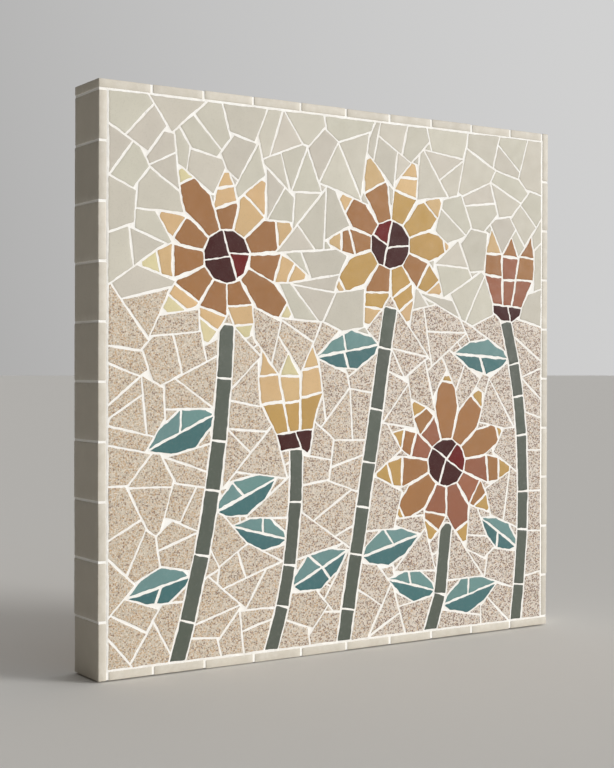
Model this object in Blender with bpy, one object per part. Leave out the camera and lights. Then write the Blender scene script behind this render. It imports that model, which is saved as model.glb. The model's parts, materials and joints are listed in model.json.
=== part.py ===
"""A square wall panel of broken-tile mosaic: flowers on a two-tone ground, tiled sides.

Metres, +Z up. The origin is the middle of the board's back, which goes against a wall, and the
picture faces -Y. The picture is laid out in the board's plane with (x, z) points: convex shards
with a joint of grout between them, as broken tile is laid. Flowers, stems and leaves take their
places and sizes as shares of the board's side.
"""

import math
import random

import bmesh
import bpy
import numpy as np
from mathutils.geometry import convex_hull_2d, delaunay_2d_cdt

# driving dimensions
BOARD_SIDE = 0.254
BOARD_THICK = 0.0198
FRONT_BED = 0.0014  # adhesive between the board and the shards
SHARD_THICK = 0.0042
SIDE_BED = 0.0010  # adhesive between the board's edge and the edge tiles
EDGE_TILE_THICK = 0.0040
EDGE_TILE_LENGTH = 0.0254
EDGE_TILE_WOBBLE = 0.0004  # how much further out than the others a hand-laid edge tile may stand
JOINT = 0.0010  # grout between shards and between edge tiles
GROUT_DROP = 0.0007  # how far the grout lies below the face
SHARD_SPACING = 0.0220  # distance between the first background shards
LARGEST_SHARD = 0.00027  # a background shard of more area than this breaks in two
CLEARANCE = 0.0003  # between neighbouring solids
SEED = 11

# sizes that follow
EDGE_OUTWARD = SIDE_BED + EDGE_TILE_THICK
PANEL_SIDE = BOARD_SIDE + 2 * EDGE_OUTWARD
DEPTH = BOARD_THICK + FRONT_BED + SHARD_THICK
HALF_BOARD = BOARD_SIDE / 2
HALF_PANEL = PANEL_SIDE / 2
SHORTEST_SIDE = 2.4 * JOINT  # a background shard's corners closer than this become one
SHORTEST_CUT = 1.5 * JOINT  # the same for the picture's shards
SMALLEST_SHARD = 14 * JOINT ** 2
SHORTEST_EDGE_TILE = 3 * JOINT
BOARD_SQUARE = [(-HALF_BOARD, -HALF_BOARD), (HALF_BOARD, -HALF_BOARD), (HALF_BOARD, HALF_BOARD),
                (-HALF_BOARD, HALF_BOARD)]
SAME_POINT = 0.00002  # corners of a plan closer than this become one

# how the ground's shards are laid
SITE_TRIES = 6000
CLOSEST_SITES = 0.8 * SHARD_SPACING
CLOSEST_TO_PICTURE = 0.17 * SHARD_SPACING  # from a shard's site to a flower, stem or leaf
FILLER_REACH = 0.62 * SHARD_SPACING  # from the middle of a filling shard to its corners at most
BARE_SPOT = 2.8 * JOINT  # a spot further than this from every shard gets a filling shard
BREAK_SHIFT = 0.12  # how far off centre a large shard breaks, as a share of its width

# heights in front of the board
BED_BACK = CLEARANCE
BED_FACE = FRONT_BED - CLEARANCE  # adhesive sheet, where a flower, stem or leaf lies over it
INLAY_BACK = FRONT_BED
GROUT_FACE = FRONT_BED + SHARD_THICK - GROUT_DROP
SHARD_FACE = FRONT_BED + SHARD_THICK

COLOURS = {
    "board": (0.42, 0.31, 0.20, 1.0),
    "grout": (0.87, 0.86, 0.82, 1.0),
    "edge tile": (0.60, 0.55, 0.46, 1.0),
    "upper background": (0.58, 0.54, 0.46, 1.0),
    "lower background": (0.52, 0.42, 0.32, 1.0),
    "centre": (0.08, 0.035, 0.030, 1.0),
    "petals": (0.45, 0.26, 0.10, 1.0),
    "stem": (0.10, 0.15, 0.14, 1.0),
}


# Convex polygons, as anticlockwise lists of (x, z) points


def area(poly):
    return 0.5 * sum(a[0] * b[1] - b[0] * a[1] for a, b in zip(poly, poly[1:] + poly[:1]))


def anticlockwise(poly):
    return poly if area(poly) > 0 else poly[::-1]


def centroid(poly):
    whole = area(poly)
    x = z = 0.0
    for a, b in zip(poly, poly[1:] + poly[:1]):
        cross = a[0] * b[1] - b[0] * a[1]
        x += (a[0] + b[0]) * cross
        z += (a[1] + b[1]) * cross
    return x / (6 * whole), z / (6 * whole)


def hull(points):
    order = convex_hull_2d(points)
    return anticlockwise([points[i] for i in order])


def polar(centre, radius, angle):
    return centre[0] + radius * math.cos(angle), centre[1] + radius * math.sin(angle)


def sides(poly):
    """Each side's outward unit normal and its distance from the origin along it."""
    lines = []
    for a, b in zip(poly, poly[1:] + poly[:1]):
        length = math.dist(a, b)
        if length > 1e-7:
            normal = ((b[1] - a[1]) / length, (a[0] - b[0]) / length)
            lines.append((normal, normal[0] * a[0] + normal[1] * a[1]))
    return lines


def clip(poly, normal, limit):
    """The part of a polygon whose distance along the normal is within the limit."""
    out = []
    for a, b in zip(poly, poly[1:] + poly[:1]):
        over_a = normal[0] * a[0] + normal[1] * a[1] - limit
        over_b = normal[0] * b[0] + normal[1] * b[1] - limit
        if over_a <= 0:
            out.append(a)
        if over_a * over_b < 0:
            t = over_a / (over_a - over_b)
            out.append((a[0] + t * (b[0] - a[0]), a[1] + t * (b[1] - a[1])))
    return out


def split(poly, point, angle, joint=JOINT):
    """The two parts of a polygon beside a joint that runs square to the angle."""
    normal = (math.cos(angle), math.sin(angle))
    middle = normal[0] * point[0] + normal[1] * point[1]
    near = clip(poly, normal, middle - joint / 2)
    far = clip(poly, (-normal[0], -normal[1]), -middle - joint / 2)
    return [part for part in (near, far) if len(part) >= 3]


def grow(poly, amount):
    """A polygon with its sides moved out, and its sharpest corners cut off square."""
    reach = 4 * BOARD_SIDE
    out = [(-reach, -reach), (reach, -reach), (reach, reach), (-reach, reach)]
    lines = sides(poly)
    for normal, limit in lines:
        out = clip(out, normal, limit + amount)
    for corner, (before, _), (after, _) in zip(poly, lines[-1:] + lines, lines):
        blend = (before[0] + after[0], before[1] + after[1])
        length = math.hypot(*blend)
        if length < 0.77:  # a corner sharper than about 45 degrees
            normal = (blend[0] / length, blend[1] / length)
            out = clip(out, normal, normal[0] * corner[0] + normal[1] * corner[1] + 1.6 * amount)
    return out


def with_fewer_sides(poly, most_added):
    """A polygon round this one: sides go, their neighbours meeting, while that adds little area."""
    out = list(poly)
    while len(out) > 4:
        best = None
        for k in range(len(out)):
            a, b, c, d = (out[(k + i) % len(out)] for i in range(4))
            along = (b[0] - a[0], b[1] - a[1])
            back = (c[0] - d[0], c[1] - d[1])
            cross = along[0] * back[1] - along[1] * back[0]
            if cross > -1e-12:
                continue  # the neighbours never meet
            t = ((c[0] - b[0]) * back[1] - (c[1] - b[1]) * back[0]) / cross
            meeting = (b[0] + t * along[0], b[1] + t * along[1])
            added = -area([b, c, meeting])
            if t > 0 and added < most_added and (best is None or added < best[0]):
                best = (added, k, meeting)
        if best is None:
            break
        _, k, meeting = best
        first, second = (k + 1) % len(out), (k + 2) % len(out)
        out[first] = meeting
        del out[second]
    return out


def margin(outline):
    """A part of the picture with the grout round it, in few sides."""
    return with_fewer_sides(grow(outline, 0.6 * JOINT), 10 * JOINT ** 2)


def drop_short_sides(poly, shortest=SHORTEST_SIDE):
    """A polygon without the corners that make very short sides; it never grows."""
    out = list(poly)
    k = 0
    while k < len(out) and len(out) > 3:
        after = (k + 1) % len(out)
        if math.dist(out[k], out[after]) < shortest:
            without = [[p for i, p in enumerate(out) if i != gone] for gone in (k, after)]
            out = max(without, key=area)
            k = 0
        else:
            k += 1
    return out


def distance(poly, point):
    """From a convex polygon to a point, negative inside."""
    depth = max(n[0] * point[0] + n[1] * point[1] - limit for n, limit in sides(poly))
    if depth <= 0:
        return depth
    nearest = math.inf
    for a, b in zip(poly, poly[1:] + poly[:1]):
        dx, dz = b[0] - a[0], b[1] - a[1]
        t = ((point[0] - a[0]) * dx + (point[1] - a[1]) * dz) / max(dx * dx + dz * dz, 1e-18)
        t = min(1.0, max(0.0, t))
        nearest = min(nearest, math.hypot(point[0] - a[0] - t * dx, point[1] - a[1] - t * dz))
    return nearest


def distances(poly, xs, zs):
    """The same for arrays of points."""
    depth = np.full(xs.shape, -np.inf)
    for normal, limit in sides(poly):
        depth = np.maximum(depth, normal[0] * xs + normal[1] * zs - limit)
    nearest = np.full(xs.shape, np.inf)
    for a, b in zip(poly, poly[1:] + poly[:1]):
        dx, dz = b[0] - a[0], b[1] - a[1]
        t = np.clip(((xs - a[0]) * dx + (zs - a[1]) * dz) / max(dx * dx + dz * dz, 1e-18), 0, 1)
        nearest = np.minimum(nearest, np.hypot(xs - a[0] - t * dx, zs - a[1] - t * dz))
    return np.where(depth <= 0, depth, nearest)


def bounds(poly):
    xs = [p[0] for p in poly]
    zs = [p[1] for p in poly]
    return min(xs), min(zs), max(xs), max(zs)


def far_apart(a, b, reach):
    """Whether two polygons' boxes are further apart than the reach."""
    box_a, box_b = bounds(a), bounds(b)
    return any(box_a[i] > box_b[i + 2] + reach or box_b[i] > box_a[i + 2] + reach for i in (0, 1))


def fit(poly, site, obstacles):
    """Trim a convex polygon around its site until it keeps each obstacle's joint clear.

    An obstacle is a convex polygon and the joint it wants. Of the obstacle's sides that have the
    site on their outer side, the one that leaves the largest shard is cut along.
    """
    close = [(distance(other, site), other, joint) for other, joint in obstacles
             if not far_apart(poly, other, joint)]
    for _, other, joint in sorted(close, key=lambda item: item[0]):
        clear = 0.999 * joint
        apart_by_own_side = any(min(n[0] * q[0] + n[1] * q[1] for q in other) - limit >= clear
                                for n, limit in sides(poly))
        apart_by_its_side = any(min(n[0] * q[0] + n[1] * q[1] for q in poly) - limit >= clear
                                for n, limit in sides(other))
        if apart_by_own_side or apart_by_its_side:
            continue
        cuts = []
        for normal, limit in sides(other):
            if normal[0] * site[0] + normal[1] * site[1] - limit > joint:
                cuts.append(clip(poly, (-normal[0], -normal[1]), -limit - joint))
        cuts = [cut for cut in cuts if len(cut) >= 3]
        if not cuts:
            return []
        poly = max(cuts, key=area)
    return poly


# The picture: each function gives clusters (group, outline, shards). The clusters of a group make
# one solid, held together by the grout within their outlines.


def on_board(share_x, share_z):
    return (share_x - 0.5) * BOARD_SIDE, (share_z - 0.5) * BOARD_SIDE


def petal(centre, aim, half_sector, base, length, widest, rng):
    """One petal of two or three shards, which stays within its sector until it narrows."""
    shoulder = base + (length - base) * rng.uniform(0.42, 0.52)
    neck = base + (length - base) * rng.uniform(0.70, 0.80)
    half_base = base * math.tan(half_sector) - JOINT / 2
    half_wide = min(shoulder * math.tan(half_sector) - JOINT / 2, widest / 2)
    half_neck = half_wide * rng.uniform(0.66, 0.78)
    half_tip = half_wide * rng.uniform(0.10, 0.22)
    lean = half_wide * rng.uniform(-0.2, 0.2)
    outline = [(base, -half_base), (shoulder, -half_wide), (neck, lean / 3 - half_neck),
               (length, lean - half_tip), (length, lean + half_tip), (neck, lean / 3 + half_neck),
               (shoulder, half_wide), (base, half_base)]
    c, s = math.cos(aim), math.sin(aim)
    outline = [(centre[0] + u * c - v * s, centre[1] + u * s + v * c) for u, v in outline]
    cuts = [shoulder, neck] if rng.random() < 0.6 else [rng.uniform(0.45, 0.65) * (shoulder + neck)]
    rest = outline = hull(outline)
    shards = []
    for cut in cuts:
        near, rest = split(rest, polar(centre, cut, aim), aim + rng.uniform(-0.35, 0.35))
        shards.append(near)
    return "petals", outline, [drop_short_sides(shard, SHORTEST_CUT) for shard in shards + [rest]]


def daisy(share_x, share_z, share_reach, petal_count, rng):
    """A flower seen from the front, with a gap between two petals at its foot for the stem."""
    centre = on_board(share_x, share_z)
    reach = share_reach * BOARD_SIDE
    core = 0.25 * reach
    corners = 9
    turn = rng.uniform(0, math.pi)
    outline = hull([polar(centre, core * rng.uniform(0.95, 1.04), turn + 2 * math.pi * k / corners)
                    for k in range(corners)])
    across = rng.uniform(0, math.pi)
    shards = []
    for half in split(outline, polar(centre, 0.15 * core, across), across):
        quarter = across + math.pi / 2 + rng.uniform(-0.35, 0.35)
        shards += split(half, centroid(half), quarter)
    base = 1.04 * core + 1.2 * JOINT
    collar = grow(outline, base + 0.5 * JOINT - core)  # the grout that joins the petals' feet
    clusters = [("centre", outline, shards), ("petals", collar, [])]
    sector = 2 * math.pi / petal_count
    first = -math.pi / 2
    edges = [first + sector * (k + (rng.uniform(-0.07, 0.07) if 0 < k < petal_count else 0.0))
             for k in range(petal_count + 1)]
    for start, end in zip(edges, edges[1:]):
        length = reach * rng.choice((0.88, 0.94, 1.0, 1.04))
        aim, half_sector = (start + end) / 2, (end - start) / 2
        clusters.append(petal(centre, aim, half_sector, base, length, 0.34 * reach, rng))
    return clusters


def tulip(share_x, share_z, share_height, lean, rng):
    """A flower seen from the side: three petals in a cup, each of three shards, on a dark foot."""
    base = on_board(share_x, share_z)
    height = share_height * BOARD_SIDE
    half_width = 0.40 * height
    c, s = math.cos(lean), math.sin(lean)

    def place(u, v):
        """A point of the cup, from its shares of half the width and of the height."""
        across, up = u * half_width, v * height
        return base[0] + across * c - up * s, base[1] + across * s + up * c

    def column(corners, cuts):
        """One petal of the cup: its outline, cut across at two heights."""
        rest = outline = hull([place(u, v) for u, v in corners])
        shards = []
        for cut in cuts:
            near, rest = split(rest, place(0.0, cut), lean + math.pi / 2 + rng.uniform(-0.12, 0.12))
            shards.append(near)
        return "petals", outline, [drop_short_sides(shard, SHORTEST_CUT) for shard in shards + [rest]]

    gap = 0.55 * JOINT / half_width  # half a joint beside a petal, as a share of the half width
    rise = JOINT / height
    clusters = [column([(gap - 0.18, 0.17), (0.18 - gap, 0.17), (0.34 - gap, 0.78), (0.0, 0.99),
                        (gap - 0.34, 0.78)], (0.48, 0.76))]
    for side in (-1, 1):
        corners = [(0.18 + gap, 0.17), (0.56, 0.17), (0.98, 0.52), (0.95, 0.82), (0.80, 1.05),
                   (0.34 + gap, 0.78)]
        clusters.append(column([(side * u, v) for u, v in corners], (0.50, 0.79)))
    foot = hull([place(u, v) for u, v in ((-0.24, -0.01), (0.24, -0.01), (0.52, 0.07), (0.56, 0.17 - rise),
                                          (-0.56, 0.17 - rise), (-0.52, 0.07))])
    clusters.append(("centre", foot, split(foot, place(0.10, 0.08), lean + 0.3)))
    return clusters


def curve_point(start, bend, end, t):
    return tuple((1 - t) ** 2 * a + 2 * t * (1 - t) * b + t * t * c for a, b, c in zip(start, bend, end))


def leaf(foot, aim, length, half_width, rng):
    """A pointed leaf in two halves beside its midrib, one of them in two shards or both."""
    c, s = math.cos(aim), math.sin(aim)

    def place(u, v):
        return foot[0] + u * c - v * s, foot[1] + u * s + v * c

    shards = []
    edge = ((0.07, 0.40), (0.38, 1.0), (0.72, 0.68))  # shares of the length and of the half width
    whole_side = rng.choice((-1, 1, 0))
    for side in (-1, 1):
        half = [place(u * length, side * (v * half_width + JOINT / 2)) for u, v in edge]
        half = hull(half + [place(0.98 * length, side * JOINT / 2), place(0.0, side * JOINT / 2)])
        cut = place(rng.uniform(0.42, 0.58) * length, 0.0)
        parts = [half] if side == whole_side else split(half, cut, aim + rng.uniform(-0.6, 0.6))
        shards += [drop_short_sides(part, SHORTEST_CUT) for part in parts]
    return "stem", hull([corner for shard in shards for corner in shard]), shards


def stem(start, bend, end, share_width, pieces, leaves, rng):
    """A stem along a curve from its flower down to the board's edge, and the leaves on it.

    A leaf is where along the stem it grows, which way it points in degrees, and its length.
    """
    start, bend, end = (on_board(*point) for point in (start, bend, end))
    half = share_width * BOARD_SIDE / 2
    stops = [0.0] + [(k + rng.uniform(-0.2, 0.2)) / pieces for k in range(1, pieces)] + [1.0]
    points = [curve_point(start, bend, end, t) for t in stops]
    clusters = []
    headings = []
    for k in range(len(points)):
        p, q = points[max(0, k - 1)], points[min(len(points) - 1, k + 1)]
        headings.append(math.atan2(q[1] - p[1], q[0] - p[0]))
    for k, (p, q) in enumerate(zip(points, points[1:])):
        quad = hull([polar(p, half, headings[k] + math.pi / 2), polar(p, half, headings[k] - math.pi / 2),
                     polar(q, half, headings[k + 1] - math.pi / 2),
                     polar(q, half, headings[k + 1] + math.pi / 2)])
        shard = quad
        along = math.atan2(q[1] - p[1], q[0] - p[0])
        for point, away, is_end in ((p, along + math.pi, k == 0), (q, along, k == pieces - 1)):
            if not is_end:
                normal = (math.cos(away), math.sin(away))
                shard = clip(shard, normal, normal[0] * point[0] + normal[1] * point[1] - JOINT / 2)
        clusters.append(("stem", quad, [shard]))
    for t, aim, share_length in leaves:
        p, q = curve_point(start, bend, end, t - 0.01), curve_point(start, bend, end, t + 0.01)
        heading = math.atan2(q[1] - p[1], q[0] - p[0])
        side = math.copysign(math.pi / 2, math.sin(math.radians(aim) - heading))
        foot = polar(curve_point(start, bend, end, t), half + JOINT, heading + side)
        length = share_length * BOARD_SIDE
        clusters.append(leaf(foot, math.radians(aim), length, 0.24 * length, rng))
    return clusters


def trimmed(shard, flowers):
    """A stem's or leaf's shard within the board and clear of the flowers."""
    for normal in ((1, 0), (-1, 0), (0, 1), (0, -1)):
        shard = clip(shard, normal, HALF_BOARD)
    return fit(shard, centroid(shard), flowers)


def picture(rng):
    """Every flower and stem by name. Stems run from the flower down past the board's edge."""
    elements = {
        "daisy_left": daisy(0.235, 0.725, 0.172, 11, rng),
        "daisy_middle": daisy(0.605, 0.765, 0.165, 10, rng),
        "daisy_right": daisy(0.747, 0.333, 0.168, 11, rng),
        "tulip_right": tulip(0.905, 0.625, 0.170, -0.08, rng),
        "tulip_middle": tulip(0.385, 0.375, 0.175, 0.10, rng),
    }
    under_tulip = 1.2 * JOINT / BOARD_SIDE
    elements["stem_left"] = stem(
        (0.235, 0.600), (0.225, 0.28), (0.128, -0.02), 0.029, 6,
        ((0.26, 205, 0.145), (0.53, 24, 0.135), (0.73, 193, 0.125)), rng)
    elements["stem_of_middle_tulip"] = stem(
        (0.386, 0.373 - under_tulip), (0.39, 0.15), (0.325, -0.02), 0.026, 4,
        ((0.40, 165, 0.115), (0.62, 26, 0.135)), rng)
    elements["stem_middle"] = stem(
        (0.605, 0.640), (0.548, 0.30), (0.492, -0.02), 0.029, 7,
        ((0.11, 190, 0.145), (0.72, 14, 0.14)), rng)
    elements["stem_right"] = stem(
        (0.747, 0.210), (0.747, 0.08), (0.70, -0.02), 0.028, 2,
        ((0.56, 165, 0.115), (0.66, 14, 0.14)), rng)
    elements["stem_of_right_tulip"] = stem(
        (0.904, 0.623 - under_tulip), (0.985, 0.35), (0.93, -0.02), 0.026, 7,
        ((0.13, 176, 0.14), (0.76, 146, 0.11)), rng)
    flowers = [(outline, JOINT) for clusters in elements.values() for group, outline, _ in clusters
               if group != "stem"]
    for name, clusters in elements.items():
        if name.startswith("stem"):
            elements[name] = [(group, outline, [trimmed(shard, flowers) for shard in shards])
                              for group, outline, shards in clusters]
    return elements


# The ground: shards of plain tile above the horizon and of speckled tile below it


def horizon():
    """The joint where the two kinds of ground meet, as a bent line across the board."""
    shares = ((0.0, 0.635), (0.12, 0.665), (0.22, 0.615), (0.36, 0.645), (0.47, 0.600), (0.60, 0.625),
              (0.72, 0.650), (0.82, 0.605), (0.92, 0.640), (1.0, 0.615))
    return [on_board(*share) for share in shares]


def horizon_height(x):
    line = horizon()
    for (x0, z0), (x1, z1) in zip(line, line[1:]):
        if x <= x1:
            return z0 + (z1 - z0) * (x - x0) / (x1 - x0)
    return line[-1][1]


def first_shards(obstacles, rng):
    """Shards around scattered sites, each cut from its neighbours by a joint that is a bit askew."""
    sites = []
    for _ in range(SITE_TRIES):
        site = (rng.uniform(-HALF_BOARD, HALF_BOARD), rng.uniform(-HALF_BOARD, HALF_BOARD))
        if all(math.dist(site, other) > CLOSEST_SITES for other in sites):
            if all(distance(poly, site) > CLOSEST_TO_PICTURE for poly, _ in obstacles):
                sites.append(site)
    joints = {}
    shards = []
    for i, site in enumerate(sites):
        poly = BOARD_SQUARE
        for j, other in enumerate(sites):
            if i == j or math.dist(site, other) > 3 * SHARD_SPACING:
                continue
            pair = (min(i, j), max(i, j))
            if pair not in joints:
                a, b = sites[pair[0]], sites[pair[1]]
                angle = math.atan2(b[1] - a[1], b[0] - a[0]) + rng.uniform(-0.3, 0.3)
                t = rng.uniform(0.42, 0.58)
                normal = (math.cos(angle), math.sin(angle))
                middle = (a[0] + t * (b[0] - a[0]), a[1] + t * (b[1] - a[1]))
                joints[pair] = (normal, normal[0] * middle[0] + normal[1] * middle[1])
            normal, limit = joints[pair]
            if i == pair[0]:
                poly = clip(poly, normal, limit - JOINT / 2)
            else:
                poly = clip(poly, (-normal[0], -normal[1]), -limit - JOINT / 2)
        if len(poly) < 3:
            continue
        poly = fit(poly, site, obstacles + [(shard, JOINT) for shard in shards])
        if len(poly) >= 3 and area(poly) > SMALLEST_SHARD:
            shards.append(poly)
    return shards


def filling_shards(obstacles, shards, rng):
    """More shards in the bare spots, the widest spot first."""
    step = 1.6 * JOINT
    count = int(BOARD_SIDE / step)
    ticks = (np.arange(count) + 0.5) * BOARD_SIDE / count - HALF_BOARD
    xs, zs = (grid.ravel() for grid in np.meshgrid(ticks, ticks))
    room = HALF_BOARD - np.maximum(np.abs(xs), np.abs(zs)) + JOINT
    solid = obstacles + [(shard, JOINT) for shard in shards]
    reach = 2 * SHARD_SPACING

    def take_room(poly):
        x0, z0, x1, z1 = bounds(poly)
        near = np.nonzero((xs > x0 - reach) & (xs < x1 + reach) & (zs > z0 - reach) & (zs < z1 + reach))[0]
        room[near] = np.minimum(room[near], distances(poly, xs[near], zs[near]))

    for poly, _ in solid:
        take_room(poly)
    found = []
    while room.max() > BARE_SPOT:
        widest = int(room.argmax())
        site = (float(xs[widest]), float(zs[widest]))
        turn = rng.uniform(0, math.pi)
        poly = [polar(site, FILLER_REACH, turn + math.pi * (0.25 + 0.5 * k)) for k in range(4)]
        for normal in ((1, 0), (-1, 0), (0, 1), (0, -1)):
            poly = clip(poly, normal, HALF_BOARD)
        poly = fit(poly, site, solid)
        poly = drop_short_sides(poly) if len(poly) >= 3 else []
        if len(poly) >= 3 and area(poly) > SMALLEST_SHARD:
            found.append(poly)
            solid.append((poly, JOINT))
            take_room(poly)
        room[widest] = 0.0
    return found


def break_large(shards, rng):
    """Large shards break in two, across their longer way or nearly so."""
    queue = list(shards)
    out = []
    while queue:
        poly = queue.pop(0)
        if area(poly) > LARGEST_SHARD * rng.uniform(0.8, 1.4):
            middle = centroid(poly)
            spread = BREAK_SHIFT * math.sqrt(area(poly))
            middle = (middle[0] + rng.uniform(-spread, spread), middle[1] + rng.uniform(-spread, spread))
            far = max(poly, key=lambda corner: math.dist(corner, middle))
            angle = math.atan2(far[1] - middle[1], far[0] - middle[0]) + rng.uniform(-0.6, 0.6)
            parts = split(poly, middle, angle)
            if len(parts) == 2 and min(area(part) for part in parts) > 2 * SMALLEST_SHARD:
                queue += parts
                continue
        poly = drop_short_sides(poly)
        if area(poly) > SMALLEST_SHARD:
            out.append(poly)
    return out


def ground(elements, rng):
    """The upper and the lower background's shards."""
    obstacles = [(margin(outline), 0.45 * JOINT) for clusters in elements.values()
                 for _, outline, _ in clusters]
    hair = JOINT / 50  # the horizon as very thin bars, with half a joint on each side
    for (x0, z0), (x1, z1) in zip(horizon(), horizon()[1:]):
        obstacles.append(([(x0, z0 - hair), (x1, z1 - hair), (x1, z1 + hair), (x0, z0 + hair)], JOINT / 2))
    shards = first_shards(obstacles, rng)
    shards += filling_shards(obstacles, shards, rng)
    shards = break_large(shards, rng)
    upper = [shard for shard in shards if centroid(shard)[1] > horizon_height(centroid(shard)[0])]
    lower = [shard for shard in shards if centroid(shard)[1] <= horizon_height(centroid(shard)[0])]
    return upper, lower


# Solids: a plan of flat areas at a few heights in front of the board, with upright walls


def covered(polys, xs, zs):
    """Which points lie in any of the polygons."""
    mask = np.zeros(xs.shape, bool)
    for poly in polys:
        inside = np.ones(xs.shape, bool)
        for normal, limit in sides(poly):
            inside &= normal[0] * xs + normal[1] * zs < limit
        mask |= inside
    return mask


def triangulate(points, edges, level_at):
    """Triangles that keep the edges, with the level at the middle of each."""
    corners, _, triangles, *_ = delaunay_2d_cdt(points, edges, [], 0, SAME_POINT, False)
    spots = np.array([tuple(corner) for corner in corners])
    triangles = np.array(triangles)
    middles = spots[triangles].mean(axis=1)
    return spots, triangles, level_at(middles[:, 0], middles[:, 1])


def steps(triangles, levels):
    """The directed edges whose left side is higher than their right, as edge: (left, right)."""
    left = {}
    for triangle, level in zip(triangles.tolist(), levels.tolist()):
        for a, b in zip(triangle, triangle[1:] + triangle[:1]):
            left[a, b] = level
    return {(a, b): (level, left.get((b, a), -1)) for (a, b), level in left.items()
            if level > left.get((b, a), -1)}


def straightened(spots, edges):
    """The edges without the points that lie within a straight run of one step."""
    out = dict(edges)
    changed = True
    while changed:
        changed = False
        at = {}
        for a, b in out:
            at.setdefault(a, []).append((a, b))
            at.setdefault(b, []).append((a, b))
        for point, pair in at.items():
            if len(pair) != 2 or any(edge not in out for edge in pair):
                continue
            into, onward = sorted(pair, key=lambda edge: edge[0] == point)
            if into[1] != point or onward[0] != point or out[into] != out[onward]:
                continue
            a, b, c = spots[into[0]], spots[point], spots[onward[1]]
            bulge = abs((c[0] - a[0]) * (b[1] - a[1]) - (c[1] - a[1]) * (b[0] - a[0]))
            if bulge < 2e-6 * math.dist(a, c) and (into[0], onward[1]) not in out:
                out[into[0], onward[1]] = out.pop(into)
                del out[onward]
                changed = True
    return out


def in_use(spots, edges):
    """The spots at the edges' ends, in their order, and the edges renumbered to them."""
    kept = sorted({corner for edge in edges for corner in edge})
    index = {corner: k for k, corner in enumerate(kept)}
    return spots[kept], [(index[a], index[b]) for a, b in edges]


def without_pinches(spots, triangles, levels):
    """Levels with no corner where two high areas touch only at that point."""
    levels = levels.copy()
    around = {}
    for k, triangle in enumerate(triangles.tolist()):
        for corner in triangle:
            around.setdefault(corner, []).append(k)
    middles = spots[triangles].mean(axis=1)
    for corner, fan in around.items():
        fan.sort(key=lambda k: math.atan2(*(middles[k] - spots[corner])[::-1]))
        for level in range(int(levels[fan].min()) + 1, int(levels[fan].max()) + 1):
            runs = []
            for k, before in zip(fan, fan[-1:] + fan[:-1]):
                if levels[k] >= level:
                    if levels[before] < level or not runs:
                        runs.append([])
                    runs[-1].append(k)
            if len(runs) > 1 and levels[fan[-1]] >= level and levels[fan[0]] >= level:
                runs[0] = runs.pop() + runs[0]
            for run in sorted(runs, key=len)[:-1]:
                levels[run] = level - 1
    return levels


def enclosed(spots, rim, points):
    """Which points the directed edges of the rim go round: a ray to +X crosses them an odd time."""
    starts = spots[[edge[0] for edge in rim]]
    ends = spots[[edge[1] for edge in rim]]
    x, z = points[:, 0, None], points[:, 1, None]
    spans = (starts[:, 1] > z) != (ends[:, 1] > z)
    rise = np.where(ends[:, 1] == starts[:, 1], 1.0, ends[:, 1] - starts[:, 1])
    crossing = starts[:, 0] + (z - starts[:, 1]) / rise * (ends[:, 0] - starts[:, 0])
    return (spans & (crossing > x)).sum(axis=1) % 2 == 1


def plan_solid(name, colour, loops, level_at, heights):
    """A solid from loops of (x, z) points.

    level_at gives each point's level: -1 where there is nothing, or k where the solid reaches
    from the first of the heights to heights[k + 1].
    """
    points = [point for loop in loops for point in loop]
    edges = []
    start = 0
    for loop in loops:
        edges += [(start + k, start + (k + 1) % len(loop)) for k in range(len(loop))]
        start += len(loop)
    spots, triangles, levels = triangulate(points, edges, level_at)
    spots, edges = in_use(spots, straightened(spots, steps(triangles, levels)))
    spots, triangles, levels = triangulate(spots.tolist(), edges, level_at)
    levels = without_pinches(spots, triangles, levels)

    vertices = {}

    def vertex(corner, step):
        return vertices.setdefault((corner, step), len(vertices))

    used = {}
    faces = []
    for triangle, level in zip(triangles.tolist(), levels.tolist()):
        for corner in triangle:
            used.setdefault(corner, set()).add(level + 1)
        if level >= 0:
            faces.append([vertex(corner, level + 1) for corner in triangle])
    for (a, b), (high, low) in steps(triangles, levels).items():
        left, right = ([step for step in sorted(used[corner] | {low + 1, high + 1})
                        if low + 1 <= step <= high + 1] for corner in (a, b))
        i = j = 0
        while i < len(left) - 1 or j < len(right) - 1:
            if j == len(right) - 1 or (i < len(left) - 1 and left[i + 1] <= right[j + 1]):
                faces.append([vertex(a, left[i]), vertex(b, right[j]), vertex(a, left[i + 1])])
                i += 1
            else:
                faces.append([vertex(a, left[i]), vertex(b, right[j]), vertex(b, right[j + 1])])
                j += 1
    rim = [edge for edge, (_, low) in steps(triangles, levels).items() if low < 0]
    rim_corners = sorted({corner for edge in rim for corner in edge})
    rim_spots, rim_edges = in_use(spots, rim)
    _, _, back, originals, *_ = delaunay_2d_cdt(rim_spots.tolist(), rim_edges, [], 0, 1e-9, True)
    owner = np.array([rim_corners[original[0]] for original in originals])
    back = owner[np.array(back)]
    for triangle, is_solid in zip(back.tolist(), enclosed(spots, rim, spots[back].mean(axis=1))):
        if is_solid:
            faces.append([vertex(corner, 0) for corner in reversed(triangle)])

    coordinates = [(float(spots[corner][0]), -BOARD_THICK - heights[step], float(spots[corner][1]))
                   for corner, step in vertices]
    return add_object(name, coordinates, faces, colour)


# Objects


def material(colour):
    found = bpy.data.materials.get(colour)
    if found is None:
        found = bpy.data.materials.new(colour)
        found.use_nodes = True
        shader = found.node_tree.nodes["Principled BSDF"]
        shader.inputs["Base Color"].default_value = COLOURS[colour]
        shader.inputs["Roughness"].default_value = 0.6
        shader.inputs["Metallic"].default_value = 0.0
    return found


def add_object(name, vertices, faces, colour):
    mesh = bpy.data.meshes.new(name)
    mesh.from_pydata(vertices, [], faces)
    mesh.update()
    mesh.materials.append(material(colour))
    obj = bpy.data.objects.new(name, mesh)
    bpy.context.collection.objects.link(obj)
    return obj


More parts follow.
